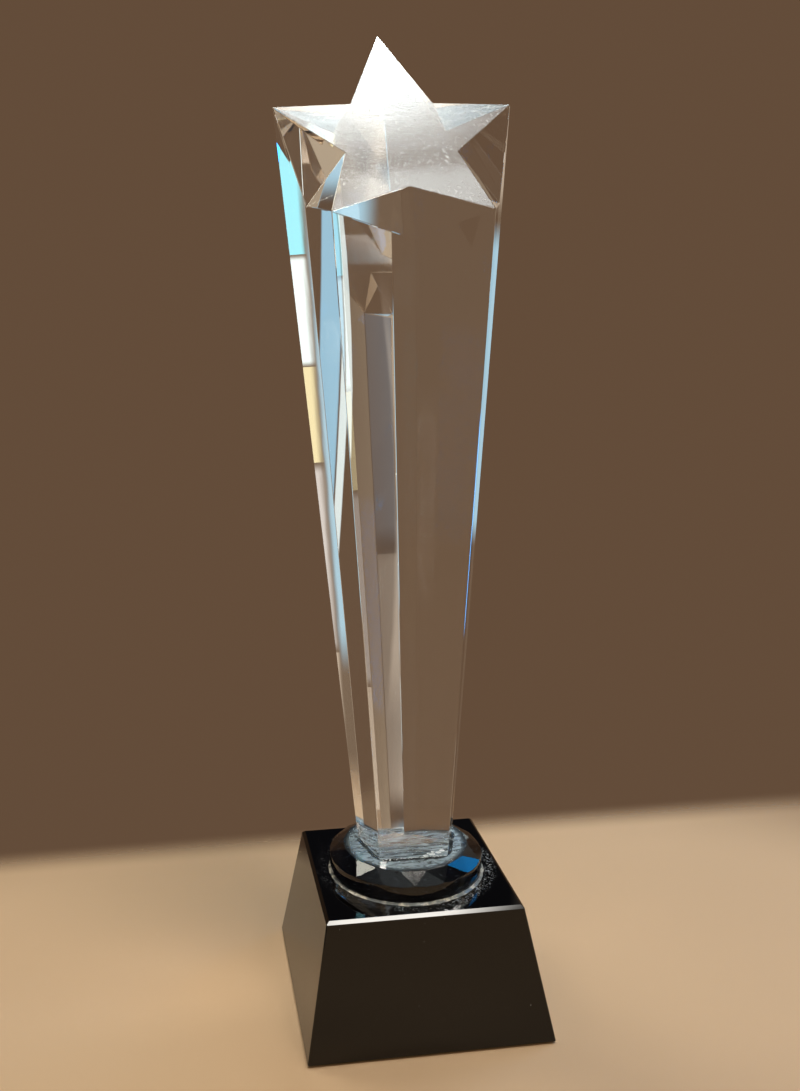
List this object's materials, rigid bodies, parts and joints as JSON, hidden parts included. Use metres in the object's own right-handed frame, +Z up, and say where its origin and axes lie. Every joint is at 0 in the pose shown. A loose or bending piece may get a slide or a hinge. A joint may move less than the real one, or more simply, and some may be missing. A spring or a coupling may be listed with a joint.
{
  "type": "crystal award",
  "caption": "Clear crystal column cut as a slanted star, bonded to a clear faceted disc on a black crystal base.",
  "frame": {"origin": "centre of the underside of the base sheet, on the surface that the award stands on", "axes": "+Z up, -Y to the front (the low edge of the star), +X to the viewer's right"},
  "size_m": [0.0805, 0.083, 0.33],
  "materials": {
    "pad_sheet": "black felt sheet",
    "black_crystal": "polished black optical crystal (glass)",
    "clear_adhesive": "clear UV-cured adhesive",
    "clear_crystal": "polished clear optical crystal"
  },
  "bodies": {
    "root": {"base_pad": "pad_sheet", "base_block": "black_crystal", "disc_bond": "clear_adhesive", "faceted_disc": "clear_crystal", "column_bond": "clear_adhesive", "star_column": "clear_crystal"}
  },
  "joints": []
}
